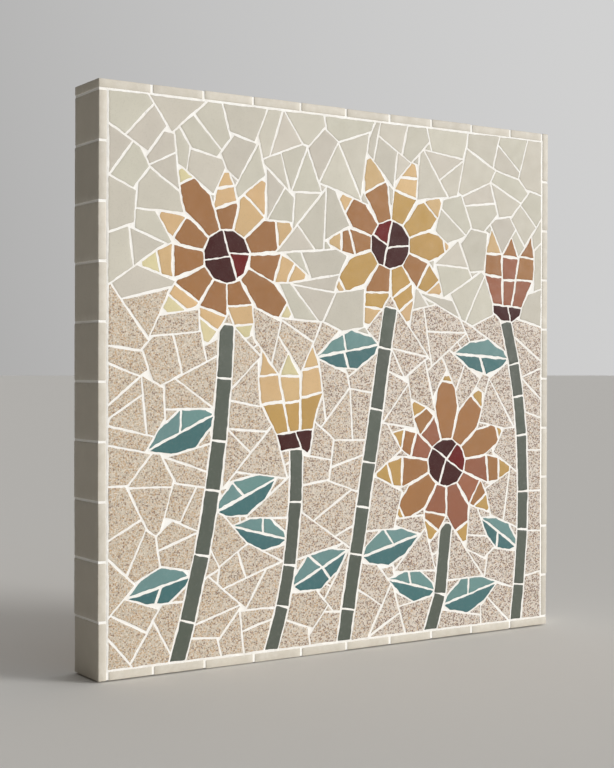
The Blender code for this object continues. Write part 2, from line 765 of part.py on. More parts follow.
def box(name, colour, low, high):
    """A box between two corners."""
    bm = bmesh.new()
    bmesh.ops.create_cube(bm, size=1.0)
    for vertex in bm.verts:
        vertex.co = [low[i] + (vertex.co[i] + 0.5) * (high[i] - low[i]) for i in range(3)]
    obj = add_object(name, [], [], colour)
    bm.to_mesh(obj.data)
    bm.free()
    return obj


def make_board():
    box("board", "board", (-HALF_BOARD, -BOARD_THICK, -HALF_BOARD), (HALF_BOARD, 0.0, HALF_BOARD))


def edge_run():
    """Where the tiles of one run start and end, from its flush end: whole tiles, then a cut one."""
    length = PANEL_SIDE - EDGE_TILE_THICK - JOINT
    pitch = EDGE_TILE_LENGTH + JOINT
    whole = int((length + JOINT) / pitch)
    tiles = [(k * pitch, k * pitch + EDGE_TILE_LENGTH) for k in range(whole)]
    if length - whole * pitch > SHORTEST_EDGE_TILE:
        tiles.append((whole * pitch, length))
    return tiles


def make_edge_tiles(rng):
    """Each run starts flush with the panel's corner and ends against the next run's first tile."""
    for turn, side in enumerate(("left", "top", "right", "bottom")):
        for number, (start, end) in enumerate(edge_run(), 1):
            tile = box(f"edge_tile_{side}_{number:02d}", "edge tile",
                       (-EDGE_TILE_THICK, -DEPTH, 0.0), (0.0, 0.0, end - start))
            outward = HALF_BOARD + SIDE_BED + rng.uniform(0.0, EDGE_TILE_WOBBLE)
            along = start - HALF_PANEL
            angle = turn * math.pi / 2
            tile.location = (-outward * math.cos(angle) + along * math.sin(angle), 0.0,
                             outward * math.sin(angle) + along * math.cos(angle))
            tile.rotation_euler = (0.0, angle, 0.0)


def make_edge_grout():
    """The adhesive and grout round the board's edge, behind the edge tiles."""
    inner = HALF_BOARD + CLEARANCE
    outer = HALF_BOARD + SIDE_BED - CLEARANCE
    squares = [[(-s, -s), (s, -s), (s, s), (-s, s)] for s in (outer, inner)]

    def level_at(xs, zs):
        return np.where(covered(squares[:1], xs, zs) & ~covered(squares[1:], xs, zs), 0, -1)

    plan_solid("edge_grout", "grout", squares, level_at, (-BOARD_THICK, GROUT_FACE))


def margin_of(clusters, groups, extra=0.0):
    """The outlines of some groups' clusters, with their grout."""
    return [grow(margin(outline), extra) for group, outline, _ in clusters if group in groups]


def make_inlay(name, colour, clusters, group, elements, stronger):
    """One group's shards, held by their grout, which gives way to the stronger groups' grout."""
    own = margin_of(clusters, [group])
    shards = [shard for kind, _, kept in clusters if kind == group for shard in kept]
    others = [poly for each in elements.values() for poly in margin_of(each, stronger, CLEARANCE)]
    others = [poly for poly in others if any(not far_apart(poly, mine, 0.0) for mine in own)]

    def level_at(xs, zs):
        here = covered(own, xs, zs) & covered([BOARD_SQUARE], xs, zs) & ~covered(others, xs, zs)
        return np.where(here, np.where(covered(shards, xs, zs), 1, 0), -1)

    return plan_solid(name, colour, own + shards + others + [BOARD_SQUARE], level_at,
                      (INLAY_BACK, GROUT_FACE, SHARD_FACE))


def make_ground(name, colour, shards, elements, is_upper):
    """One half of the ground: its adhesive sheet, its shards, and pockets for the picture."""
    pockets = [poly for each in elements.values()
               for poly in margin_of(each, ("centre", "petals", "stem"), CLEARANCE)]
    shift = CLEARANCE / 2 if is_upper else -CLEARANCE / 2
    line = [(x, z + shift) for x, z in horizon()]
    far = HALF_BOARD if is_upper else -HALF_BOARD
    outline = anticlockwise(line + [(HALF_BOARD, far), (-HALF_BOARD, far)])

    def level_at(xs, zs):
        edge = np.interp(xs, [x for x, _ in line], [z for _, z in line])
        here = (zs > edge if is_upper else zs < edge) & covered([BOARD_SQUARE], xs, zs)
        level = np.where(covered(pockets, xs, zs), 0, np.where(covered(shards, xs, zs), 2, 1))
        return np.where(here, level, -1)

    return plan_solid(name, colour, [outline] + pockets + shards, level_at,
                      (BED_BACK, BED_FACE, GROUT_FACE, SHARD_FACE))


def main():
    for obj in list(bpy.data.objects):
        bpy.data.objects.remove(obj, do_unlink=True)
    rng = random.Random(SEED)
    elements = picture(rng)
    upper, lower = ground(elements, rng)
    make_board()
    make_edge_tiles(rng)
    make_edge_grout()
    make_ground("background_upper", "upper background", upper, elements, True)
    make_ground("background_lower", "lower background", lower, elements, False)
    for name, clusters in elements.items():
        if name.startswith("stem"):
            make_inlay(name, "stem", clusters, "stem", elements, ("centre", "petals"))
        else:
            make_inlay(name + "_centre", "centre", clusters, "centre", elements, ())
            make_inlay(name + "_petals", "petals", clusters, "petals", elements, ("centre",))


main()
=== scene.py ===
"""Looks of the mosaic wall panel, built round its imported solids.

Metres, +Z up, the picture facing -Y. Each shard has its solid's outline at the panel's face, with the
small irregularities of nipped tile. The ground's shards and the flowers' centres first grow until few
joints are wide, and small shards take the bare spots. The grout between the shards is one sheet. The
edge tiles and the board take their places from the solids' boxes.
"""
import json
import math
import random

import bpy
import numpy as np
from mathutils import Matrix, Vector, noise
from mathutils.geometry import convex_hull_2d, delaunay_2d_cdt, intersect_point_line

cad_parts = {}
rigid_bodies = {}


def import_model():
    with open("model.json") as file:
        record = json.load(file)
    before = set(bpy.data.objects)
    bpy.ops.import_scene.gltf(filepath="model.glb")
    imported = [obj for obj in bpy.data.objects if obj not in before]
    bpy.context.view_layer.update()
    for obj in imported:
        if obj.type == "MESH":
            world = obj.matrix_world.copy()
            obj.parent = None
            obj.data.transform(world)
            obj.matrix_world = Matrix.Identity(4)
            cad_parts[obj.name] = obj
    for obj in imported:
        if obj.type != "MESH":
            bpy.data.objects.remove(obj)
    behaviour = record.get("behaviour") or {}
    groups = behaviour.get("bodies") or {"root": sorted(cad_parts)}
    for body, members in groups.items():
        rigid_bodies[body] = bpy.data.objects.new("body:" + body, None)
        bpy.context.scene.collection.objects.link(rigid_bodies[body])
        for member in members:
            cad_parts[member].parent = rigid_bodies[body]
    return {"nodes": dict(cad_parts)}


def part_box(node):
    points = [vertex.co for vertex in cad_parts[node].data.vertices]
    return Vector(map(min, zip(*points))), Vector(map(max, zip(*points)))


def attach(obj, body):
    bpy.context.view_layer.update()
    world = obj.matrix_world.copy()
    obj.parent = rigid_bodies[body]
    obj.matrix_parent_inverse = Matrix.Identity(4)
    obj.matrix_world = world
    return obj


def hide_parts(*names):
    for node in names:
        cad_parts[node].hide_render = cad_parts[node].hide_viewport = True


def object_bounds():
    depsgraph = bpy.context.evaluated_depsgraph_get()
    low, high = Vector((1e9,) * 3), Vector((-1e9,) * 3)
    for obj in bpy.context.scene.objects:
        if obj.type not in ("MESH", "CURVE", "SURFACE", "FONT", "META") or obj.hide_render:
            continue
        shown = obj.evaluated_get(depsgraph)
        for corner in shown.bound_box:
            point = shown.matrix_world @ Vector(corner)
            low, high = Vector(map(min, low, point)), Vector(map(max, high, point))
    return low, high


for leftover in list(bpy.data.objects):
    bpy.data.objects.remove(leftover, do_unlink=True)
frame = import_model()
CAD_LOW, CAD_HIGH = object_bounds()
BOARD_LOW, BOARD_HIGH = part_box("board")

MM = 0.001
FACE = CAD_LOW.y  # the front of the shards
DEPTH = -FACE
HALF_BOARD = BOARD_HIGH.x
BOARD_SIDE = 2 * HALF_BOARD
BOARD_FRONT = BOARD_LOW.y
TILE_INNER = HALF_BOARD + 1.0 * MM  # about where the edge tiles' backs are
SEED = 5

# the shards' plans
BORDER = HALF_BOARD + 0.35 * MM  # their reach from the middle
PLAN_JOINT = 0.66 * MM  # least joint beside a shard that grows
MOST_WIDENED = 2.2 * MM  # most that a corner moves out in a pass, and twice a side's
SIDE_STEPS = (0.8 * MM, 0.4 * MM, 0.2 * MM, 0.1 * MM)  # passes that move sides out
CORNER_STEPS = (0.9 * MM, 0.45 * MM, 0.22 * MM)  # passes that move corners out
NEIGHBOUR = 3 * MM  # shards further apart aren't in each other's way
LONG_SIDE = 5 * MM  # a longer side may get a corner in its middle
MOST_CORNERS = 8  # of such a shard
LEAST_SIDE = 0.3 * MM
LEAST_BEND = 0.02  # sine of the turn at a corner
LEAST_BULGE = 0.03 * MM  # a corner that stands out by less is left out
SHARPEST_CORNER = 34  # degrees
SPIKE = 2.5  # most that a corner goes out for each step of a side
BARE_SPOT = 1.5 * MM  # a spot further from every shard gets a small one
CELL_REACH = 1.6  # of a small shard before it is cut to fit, as a share of its spot's gap
CELL_SLACK = 0.06 * MM  # what its joints have over the least at first
BORDER_SLACK = 0.02 * MM

# their broken edges
STEP = 0.9 * MM  # between an outline's points
CORNER = 0.28 * MM  # what a corner has lost along each side
SHORTEST_EDGE = 0.2 * MM  # a shorter one gets no points
FULL_EDGE = 12 * MM  # an edge this long bows and leans in full
WAVE = 3.2 * MM  # size of an edge's waves
NICK = 1.2 * MM  # size of its nicks
WAVINESS = {"cream": 0.27, "speckled": 0.27, "stem_green": 0.30}  # in mm, by tone
PICTURE_WAVINESS = 0.46  # of all other tones
SWELL = 0.16 * MM  # how far the picture's shards stand out from the plan at first
LEAN = 0.15 * MM  # how far the ends of a long broken edge may turn in and out
MOST_OUTWARD = -0.22 * MM  # an edge never bulges into the joint by more

# their bodies
SHARD_THICK = 4.2 * MM
ARRIS = 0.15 * MM  # radius of the face's worn edge
FACE_GRID = 4 * MM  # between the points inside a face
TILT = 0.0035  # radians
MOST_TILTED = 0.06 * MM  # how far a tilt may move a point
MOST_SUNK = 0.10  # in mm, of a shard below the others
RIM_REACH = 0.9 * MM  # over which the haze of grout fades from a tile's edge

# grout
GROUT_TOP = 0.09 * MM  # how far below the face the grout meets a shard
GROUT_DIP = 0.13 * MM  # how much deeper it lies in the middle of a joint
GROUT_REACH = 0.30 * MM  # distance from a shard over which it dips
GROUT_PITCH = 0.62 * MM  # between its points in the joints
GROUT_GAP = 0.33 * MM  # least gap between such a point and a tile
GROUT_UNDER = 0.5 * MM  # how far it runs in under the edge tiles
GROUT_SUNK = 0.45 * MM  # its depth there
POCKET_WALL = 0.10 * MM  # how far it runs under a shard's edge
PINHOLES = 46
PINHOLE_DEPTH = 0.35 * MM
PINHOLE_RADIUS = 0.26 * MM
PINHOLE_GAP = 0.42 * MM  # least gap between its middle and a tile

# edge tiles
EDGE_RADIUS = 0.42 * MM
EDGE_SETBACK = 0.06 * MM  # room for unevenness inside the solids' box
FIN_RECESS = 0.24 * MM  # of the grout between them


# Colours as they look in plain light


def linear(r, g, b):
    """A colour of 0 to 255 as it looks, in the shaders' own scale."""
    channels = [c / 255 for c in (r, g, b)]
    return [c / 12.92 if c < 0.04045 else ((c + 0.055) / 1.055) ** 2.4 for c in channels] + [1.0]


TONES = {
    "cream": linear(199, 195, 182),
    "speckled": linear(202, 190, 172),
    "maroon": linear(66, 26, 24),
    "red": linear(104, 20, 17),
    "ochre": linear(158, 111, 66),
    "gold": linear(188, 152, 87),
    "sand": linear(209, 177, 130),
    "straw": linear(216, 205, 162),
    "rust": linear(150, 94, 67),
    "teal": linear(66, 110, 113),
    "pale_teal": linear(106, 143, 142),
    "stem_green": linear(86, 93, 84),
    "edge_tile": linear(207, 200, 186),
}
GROUT_COLOUR = linear(253, 252, 248)

YELLOWER = (1.0, 1.006, 0.975, 1.0)  # the factors between which a shard's hue varies
PINKER = (1.0, 0.965, 0.970, 1.0)
FINE_GRAIN = linear(120, 110, 98)
DARK_TONE = 0.2  # a tone is dark if its three channels come to less

# The speckled tile's grains: size in mm, share of the cells, strength, shift of the pattern and
# colour. Of two values, the first is for the panel's left.
SPECKLES = (
    (0.80, (0.66, 0.36), 0.88, 0.7, linear(186, 150, 108)),
    (0.70, 0.40, (0.70, 0.90), 5.3, linear(152, 141, 124)),
    (0.65, 0.35, 0.70, 8.1, linear(232, 222, 206)),
    (0.80, (0.15, 0.48), (0.76, 1.0), 2.9, linear(110, 77, 62)),
)


# Materials


def add_node(tree, kind, inputs=None, **settings):
    """A new node, with each input set to a value or linked to a socket."""
    node = tree.nodes.new(kind)
    for setting, value in settings.items():
        setattr(node, setting, value)
    for socket, value in (inputs or {}).items():
        if isinstance(value, bpy.types.NodeSocket):
            tree.links.new(value, node.inputs[socket])
        else:
            node.inputs[socket].default_value = value
    return node


class Shader:
    """A material with a Principled shader, to which nodes are added by short calls."""

    def __init__(self, name, **plain):
        self.material = bpy.data.materials.new(name)
        self.material.use_nodes = True
        self.tree = self.material.node_tree
        self.surface = self.tree.nodes["Principled BSDF"]
        for socket, value in plain.items():
            self.surface.inputs[socket.replace("_", " ")].default_value = value
        self.place = self.add("ShaderNodeTexCoord").outputs["Object"]

    def add(self, kind, inputs=None, **settings):
        return add_node(self.tree, kind, inputs, **settings)

    def noise(self, size, detail=2.0, place=None, roughness=0.5):
        """Cloudy noise from 0 to 1 with features of about this size."""
        inputs = {"Vector": place or self.place, "Scale": 1 / size,
                  "Detail": detail, "Roughness": roughness}
        return self.add("ShaderNodeTexNoise", inputs).outputs["Fac"]

    def attribute(self, name):
        return self.add("ShaderNodeAttribute", attribute_name=name).outputs["Fac"]

    def between(self, value, low, high, to_low=0.0, to_high=1.0):
        """A value from low to high, carried over to the range from to_low to to_high."""
        inputs = {"Value": value, "From Min": low, "From Max": high,
                  "To Min": to_low, "To Max": to_high}
        return self.add("ShaderNodeMapRange", inputs).outputs["Result"]

    def patches(self, size, low, high):
        """Values from low to high in soft patches of this size."""
        return self.between(self.noise(size, 3.0), 0.3, 0.7, low, high)

    def math(self, operation, a, b):
        node = self.add("ShaderNodeMath", {0: a, 1: b}, operation=operation)
        return node.outputs["Value"]

    def mix(self, factor, a, b, blend="MIX"):
        inputs = {0: factor, 6: a, 7: b}
        node = self.add("ShaderNodeMix", inputs, data_type="RGBA", blend_type=blend)
        return node.outputs[2]

    def over(self, shade, mask, strength, colour):
        """A colour over the shade where the mask is 1, at that strength."""
        return self.mix(self.math("MULTIPLY", mask, strength), shade, colour)

    def grains(self, size, share, shift):
        """Scattered round grains: one in each cell of this size, in that share of the cells."""
        inputs = {0: self.place, 1: (shift, shift, shift)}
        moved = self.add("ShaderNodeVectorMath", inputs, operation="ADD").outputs["Vector"]
        cells = self.add("ShaderNodeTexVoronoi", {"Vector": moved, "Scale": 1 / size})
        chance = self.add("ShaderNodeSeparateColor", {"Color": cells.outputs["Color"]}).outputs["Red"]
        if isinstance(share, bpy.types.NodeSocket):
            chosen = self.math("LESS_THAN", chance, share)
        else:
            chosen = self.between(chance, share, share - 0.02)
        body = self.between(cells.outputs["Distance"], 0.62, 0.34)
        return self.math("MULTIPLY", chosen, body)

    def own_shade(self, colour, darkest, lightest):
        """The colour times a factor between two, which each tile has for itself."""
        ends = [[min(1.0, factor * c) for c in colour[:3]] + [1.0] for factor in (darkest, lightest)]
        return self.mix(self.attribute("tone"), *ends)

    def clouded(self, shade, size, strength):
        """The shade in clouds of this size, darker and lighter by up to that share."""
        clouds = self.patches(size, 1 - strength, 1 + strength)
        grey = self.add("ShaderNodeCombineColor", {"Red": clouds, "Green": clouds, "Blue": clouds})
        return self.mix(1.0, shade, grey.outputs["Color"], "MULTIPLY")

    def hazed(self, shade, size, low, high, most):
        """The shade under a patchy haze of grout near a tile's edges."""
        haze = self.between(self.noise(size, 4.0), low, high, 0.0, most)
        return self.over(shade, haze, self.attribute("rim"), GROUT_COLOUR)

    def finish(self, colour, height=None, depth=0.0, roughness=None):
        """Link the colour, the bump of that depth and the roughness to the surface."""
        self.tree.links.new(colour, self.surface.inputs["Base Color"])
        if height is not None:
            bump = self.add("ShaderNodeBump", {"Height": height, "Distance": depth, "Strength": 1.0})
            self.tree.links.new(bump.outputs["Normal"], self.surface.inputs["Normal"])
        if roughness is not None:
            self.tree.links.new(roughness, self.surface.inputs["Roughness"])
        return self.material


def tile_material(name, colour):
    """Unglazed porcelain: nearly plain, a little cloudy, each shard a shade of its own."""
    is_dark = sum(colour[:3]) < DARK_TONE
    s = Shader(name, Roughness=0.5, Specular_IOR_Level=0.11 if is_dark else 0.18)
    shade = s.own_shade(colour, 0.90, 1.06)
    which_way = s.math("FRACT", s.math("MULTIPLY", s.attribute("tone"), 7.3), 0.0)
    shade = s.mix(1.0, shade, s.mix(which_way, YELLOWER, PINKER), "MULTIPLY")
    shade = s.clouded(shade, 14 * MM, 0.035)
    shade = s.over(shade, s.grains(0.45 * MM, 0.20, 3.1), 0.12, FINE_GRAIN)
    shade = s.hazed(shade, 1.6 * MM, 0.50, 0.80, 0.03 if is_dark else 0.10)
    rough = s.patches(5 * MM, 0.42, 0.56)
    rough = s.math("ADD", rough, s.math("MULTIPLY", s.attribute("broken"), 0.25))
    return s.finish(shade, s.noise(0.5 * MM, 4.0, roughness=0.7), 0.012 * MM, rough)


def speckled_material(name, colour):
    """Porcelain of mixed grains: more ochre to the left, more brown to the right, and painted light
    paling its base to the right.
    """
    s = Shader(name, Roughness=0.55, Specular_IOR_Level=0.35)
    across = s.add("ShaderNodeSeparateXYZ", {"Vector": s.place}).outputs["X"]
    own = s.math("MULTIPLY", s.attribute("tone"), 60 * MM)
    # how far right a tile lies, give or take a share of its own: it sets the mix of grains, and the
    # painted light's paling of the base
    right = s.between(s.math("ADD", across, own), -70 * MM, 85 * MM)

    def across_panel(value):
        return s.between(right, 0.0, 1.0, *value) if isinstance(value, tuple) else value

    # painted light: the base shade pales from left to right, as if the panel were lit more strongly on
    # its right
    shade = s.mix(right, colour, linear(213, 203, 192))
    for size, share, strength, shift, grain in SPECKLES:
        mask = s.grains(size * MM, across_panel(share), shift)
        shade = s.over(shade, mask, across_panel(strength), grain)
    shade = s.hazed(shade, 1.6 * MM, 0.50, 0.80, 0.16)
    rough = s.patches(5 * MM, 0.48, 0.60)
    return s.finish(shade, s.noise(0.5 * MM, 4.0, roughness=0.7), 0.018 * MM, rough)


def grout_material():
    """White cement grout: fine sand, faint clouds of damp and a few darker grains."""
    s = Shader("grout", Roughness=0.9, Specular_IOR_Level=0.2)
    clouds = s.between(s.noise(9 * MM, 4.0), 0.3, 0.75)
    shade = s.mix(clouds, GROUT_COLOUR, linear(247, 243, 236))
    shade = s.over(shade, s.grains(0.30 * MM, 0.25, 1.7), 0.22, linear(214, 208, 198))
    return s.finish(shade, s.noise(0.28 * MM, 4.0, roughness=0.7), 0.05 * MM)


def edge_tile_material():
    """Whole tiles of the same porcelain, with more haze left at their edges."""
    s = Shader("edge_tile", Roughness=0.5, Specular_IOR_Level=0.3)
    shade = s.own_shade(TONES["edge_tile"], 0.93, 1.04)
    shade = s.clouded(shade, 11 * MM, 0.03)
    shade = s.over(shade, s.grains(0.35 * MM, 0.14, 4.4), 0.10, FINE_GRAIN)
    shade = s.hazed(shade, 2.4 * MM, 0.40, 0.75, 0.22)
    rough = s.patches(6 * MM, 0.46, 0.60)
    return s.finish(shade, s.noise(0.6 * MM, 4.0, roughness=0.65), 0.012 * MM, rough)


def board_material():
    """Sanded birch plywood: long pale grain, soft year rings and a few darker streaks."""
    s = Shader("board", Roughness=0.65, Specular_IOR_Level=0.3)

    def drawn_out(share):
        inputs = {"Vector": s.place, "Scale": (1.0, 1.0, share)}
        return s.add("ShaderNodeMapping", inputs).outputs["Vector"]

    stretched = drawn_out(0.05)
    drift = s.math("MULTIPLY", s.noise(80 * MM, 1.5, drawn_out(0.30)), 70 * MM)
    sideways = s.add("ShaderNodeCombineXYZ", {"X": drift}).outputs["Vector"]
    inputs = {0: stretched, 1: sideways}
    bent = s.add("ShaderNodeVectorMath", inputs, operation="ADD").outputs["Vector"]
    fine = s.noise(0.9 * MM, 5.0, stretched, 0.6)
    broad = s.between(s.noise(16 * MM, 3.0, bent), 0.3, 0.7)
    shade = s.mix(broad, linear(212, 184, 146), linear(194, 162, 122))
    inputs = {"Vector": bent, "Scale": 26.0, "Distortion": 1.6, "Detail": 2.0}
    rings = s.add("ShaderNodeTexWave", inputs, bands_direction="X").outputs["Fac"]
    shade = s.over(shade, s.between(rings, 0.55, 1.0), 0.26, linear(164, 126, 88))
    streaks = s.between(s.noise(5 * MM, 4.0, bent, 0.7), 0.56, 0.74)
    shade = s.over(shade, streaks, 0.35, linear(152, 118, 84))
    shade = s.over(shade, s.between(fine, 0.60, 0.74), 0.50, linear(128, 96, 66))
    return s.finish(shade, fine, 0.06 * MM)


# Outlines in the panel's plane, as anticlockwise (x, z) points


def along(normal, point):
    """How far a point lies from the origin in a direction."""
    return normal[0] * point[0] + normal[1] * point[1]


def edges_of(poly):
    return zip(poly, poly[1:] + poly[:1])


def square(reach):
    return [(-reach, -reach), (reach, -reach), (reach, reach), (-reach, reach)]


def area(poly):
    return 0.5 * sum(a[0] * b[1] - b[0] * a[1] for a, b in edges_of(poly))


def centroid(poly):
    whole = area(poly)
    x = z = 0.0
    for a, b in edges_of(poly):
        cross = a[0] * b[1] - b[0] * a[1]
        x += (a[0] + b[0]) * cross
        z += (a[1] + b[1]) * cross
    return x / (6 * whole), z / (6 * whole)


def hull(points):
    outline = [points[i] for i in convex_hull_2d(points)]
    return outline if area(outline) > 0 else outline[::-1]


def face_outlines(node):
    """The outlines of the areas where a node's solid reaches the panel's face."""
    mesh = frame["nodes"][node].data
    places = [(round(v.co.x, 5), round(v.co.z, 5)) for v in mesh.vertices]
    spots = {}
    spot_of = [spots.setdefault(place, len(spots)) for place in places]
    at_face = [v.co.y < FACE + 0.01 * MM for v in mesh.vertices]
    faces = [[spot_of[v] for v in face.vertices] for face in mesh.polygons
             if all(at_face[v] for v in face.vertices)]
    leader = list(range(len(spots)))

    def lead(spot):
        while leader[spot] != spot:
            spot = leader[spot]
        return spot

    for first, *others in faces:
        for other in others:
            leader[lead(other)] = lead(first)
    islands = {}
    place_of = list(spots)
    for spot in sorted({spot for face in faces for spot in face}):
        islands.setdefault(lead(spot), []).append(place_of[spot])
    return [hull(points) for points in islands.values()]


def sides(poly):
    """Each side's outward unit normal and its distance from the origin along it."""
    lines = []
    for a, b in edges_of(poly):
        length = math.dist(a, b)
        normal = ((b[1] - a[1]) / length, (a[0] - b[0]) / length)
        lines.append((normal, along(normal, a)))
    return lines


def clip(poly, normal, limit):
    """The part of a polygon whose distance along the normal is within the limit."""
    out = []
    for a, b in edges_of(poly):
        over_a, over_b = along(normal, a) - limit, along(normal, b) - limit
        if over_a <= 0:
            out.append(a)
        if over_a * over_b < 0:
            t = over_a / (over_a - over_b)
            out.append((a[0] + t * (b[0] - a[0]), a[1] + t * (b[1] - a[1])))
    return out


def simplified(poly):
    """A convex outline without the corners that hardly bend it."""
    out = list(poly)
    k = 0
    while k < len(out) and len(out) > 3:
        a, b, c = out[k - 1], out[k], out[(k + 1) % len(out)]
        bulge = abs((c[0] - a[0]) * (b[1] - a[1]) - (c[1] - a[1]) * (b[0] - a[0]))
        if bulge < LEAST_BULGE * math.dist(a, c):
            del out[k]
            k = 0
        else:
            k += 1
    return out


def apart(a, b, gap):
    """Whether a side of one of two convex outlines has the other beyond it by the gap."""
    return any(min(along(normal, point) for point in other) - limit >= gap
               for one, other in ((a, b), (b, a)) for normal, limit in sides(one))


def near_each_other(a, b, reach):
    return all(min(p[i] for p in a) < max(p[i] for p in b) + reach and
               min(p[i] for p in b) < max(p[i] for p in a) + reach for i in (0, 1))


def with_side_out(poly, k, amount):
    """A convex outline with one side moved out, or nothing if that makes a long spike."""
    out = square(BOARD_SIDE)
    for i, (normal, limit) in enumerate(sides(poly)):
        out = clip(out, normal, limit + (amount if i == k else 0.0))
    centre = centroid(poly)
    far = max(math.dist(p, centre) for p in poly)
    return [] if max(math.dist(p, centre) for p in out) > far + SPIKE * amount else out


def is_sound(poly):
    """Whether an outline is convex and without needle corners."""
    for a, b, c in zip(poly[-1:] + poly[:-1], poly, poly[1:] + poly[:1]):
        back, ahead = math.dist(a, b), math.dist(b, c)
        if min(back, ahead) < LEAST_SIDE:
            return False
        cross = ((b[0] - a[0]) * (c[1] - b[1]) - (b[1] - a[1]) * (c[0] - b[0])) / (back * ahead)
        onward = ((b[0] - a[0]) * (c[0] - b[0]) + (b[1] - a[1]) * (c[1] - b[1])) / (back * ahead)
        if cross < LEAST_BEND or math.degrees(math.atan2(cross, onward)) > 180 - SHARPEST_CORNER:
            return False
    return True


def directions_out(poly, k):
    """Ways to move a corner out: on along the sides that meet there, and between the two."""
    a, b, c = poly[k - 1], poly[k], poly[(k + 1) % len(poly)]
    first = Vector(b) - Vector(a)
    second = Vector(b) - Vector(c)
    return [way.normalized() for way in (first.normalized() + second.normalized(), first, second)]


def with_corner_out(poly, k, way, amount):
    out = list(poly)
    out[k] = (poly[k][0] + way[0] * amount, poly[k][1] + way[1] * amount)
    return out


def with_side_broken(poly, k, amount):
    """A convex outline with a corner added in the middle of a side, a little way out."""
    a, b = poly[k], poly[(k + 1) % len(poly)]
    (nx, nz), _ = sides(poly)[k]
    middle = ((a[0] + b[0]) / 2 + nx * amount, (a[1] + b[1]) / 2 + nz * amount)
    return poly[:k + 1] + [middle] + poly[k + 1:]


def tightened(shards, fixed):
    """The shards with sides and corners moved out, so that few joints beside them stay wide."""
    shards = [simplified(poly) for poly in shards]

    def neighbours(k):
        return [other for i, other in enumerate(shards + fixed)
                if i != k and near_each_other(shards[k], other, NEIGHBOUR)]

    def fits(poly, others):
        return max(abs(c) for p in poly for c in p) < BORDER and \
            all(apart(poly, other, PLAN_JOINT) for other in others)

    for step in SIDE_STEPS:
        for k, poly in enumerate(shards):
            others = neighbours(k)
            for side in range(len(poly)):
                for _ in range(int(MOST_WIDENED / (2 * step))):
                    wider = with_side_out(poly, side, step)
                    if len(wider) != len(poly) or not fits(wider, others):
                        break
                    poly = wider
            shards[k] = poly
    for step in CORNER_STEPS:
        for k, poly in enumerate(shards):
            others = neighbours(k)
            for side in reversed(range(len(poly))):
                length = math.dist(poly[side], poly[(side + 1) % len(poly)])
                if length > LONG_SIDE and len(poly) < MOST_CORNERS:
                    wider = with_side_broken(poly, side, step)
                    if is_sound(wider) and fits(wider, others):
                        poly = wider
            for corner in range(len(poly)):
                for way in directions_out(poly, corner):
                    for _ in range(round(MOST_WIDENED / step)):
                        wider = with_corner_out(poly, corner, way, step)
                        if not is_sound(wider) or not fits(wider, others):
                            break
                        poly = wider
            shards[k] = poly
    return shards


def nearest_on(poly, spot):
    """The place on an outline that is nearest to a spot."""
    found = []
    for a, b in edges_of(poly):
        share = min(1.0, max(0.0, intersect_point_line(spot, a, b)[1]))
        found.append((a[0] + share * (b[0] - a[0]), a[1] + share * (b[1] - a[1])))
    return min(found, key=lambda place: math.dist(place, spot))


def fillings(shards):
    """Small shards for the bare spots, each in the room that the others leave round it."""
    found = []
    xs, zs, gaps = grout_points(shards, BORDER + PLAN_JOINT)
    for k in np.argsort(-gaps, kind="stable"):
        spot, gap = (float(xs[k]), float(zs[k])), float(gaps[k])
        if gap < BARE_SPOT:
            break
        if any(within(poly, [spot])[0] or edge_distance(poly, [spot])[0] < BARE_SPOT
               for poly in found):
            continue
        reach = CELL_REACH * gap
        turns = [math.pi * (i + 0.5) / 3 for i in range(6)]
        cell = [(spot[0] + reach * math.cos(t), spot[1] + reach * math.sin(t)) for t in turns]
        for normal in ((1, 0), (-1, 0), (0, 1), (0, -1)):
            cell = clip(cell, normal, BORDER - BORDER_SLACK)
        for other in shards + found:
            if near_each_other(cell, other, 2 * PLAN_JOINT):
                near = nearest_on(other, spot)
                away = math.dist(near, spot)
                normal = ((near[0] - spot[0]) / away, (near[1] - spot[1]) / away)
                cell = clip(cell, normal, along(normal, near) - PLAN_JOINT - CELL_SLACK)
        found.append(simplified(cell))
    return tightened(found, shards)


def nipped(outline, waviness, swell, rng):
    """An outline as nipped by hand: close points, each a little further in than the plan."""
    points = []
    shift = rng.uniform(0, 50)
    for a, b in edges_of(outline):
        length = math.dist(a, b)
        if length < SHORTEST_EDGE:
            continue
        way = ((b[0] - a[0]) / length, (b[1] - a[1]) / length)
        cut = min(CORNER * rng.uniform(0.6, 1.4), 0.25 * length)
        count = max(1, round((length - 2 * cut) / STEP))
        size = min(1.0, length / FULL_EDGE)
        bow = rng.uniform(-0.4, 0.9) * waviness * size
        lean = rng.uniform(-1, 1) * LEAN * size
        for k in range(count + 1):
            s = cut + (length - 2 * cut) * k / count
            x, z = a[0] + way[0] * s, a[1] + way[1] * s
            broad = 0.35 + 0.9 * noise.noise((x / WAVE, shift, z / WAVE))
            nick = max(0.0, noise.noise((x / NICK, -shift, z / NICK)) - 0.15)
            share = s / length
            inward = waviness * (broad + 0.6 * nick) + bow * 4 * share * (1 - share) - swell
            inward = max(MOST_OUTWARD, inward + lean * (2 * share - 1))
            points.append((x - way[1] * inward, z + way[0] * inward))
    return points


def inward_normals(loop):
    """The direction into the outline at each of its points."""
    pts = np.array(loop)
    ahead = np.roll(pts, -1, axis=0) - pts
    ahead /= np.linalg.norm(ahead, axis=1)[:, None]
    normal = np.stack([-ahead[:, 1], ahead[:, 0]], axis=1)
    blend = normal + np.roll(normal, 1, axis=0)
    return blend / np.maximum(np.linalg.norm(blend, axis=1)[:, None], 1e-9)


def edge_distance(loop, points):
    """From each point to the nearest place on a closed outline, without a sign."""
    a = np.array(loop)
    d = np.roll(a, -1, axis=0) - a
    points = np.asarray(points)
    t = ((points[:, None, :] - a) * d).sum(axis=2) / np.maximum((d * d).sum(axis=1), 1e-18)
    t = np.clip(t, 0, 1)
    gap = points[:, None, :] - a - t[:, :, None] * d
    return np.sqrt((gap ** 2).sum(axis=2)).min(axis=1)


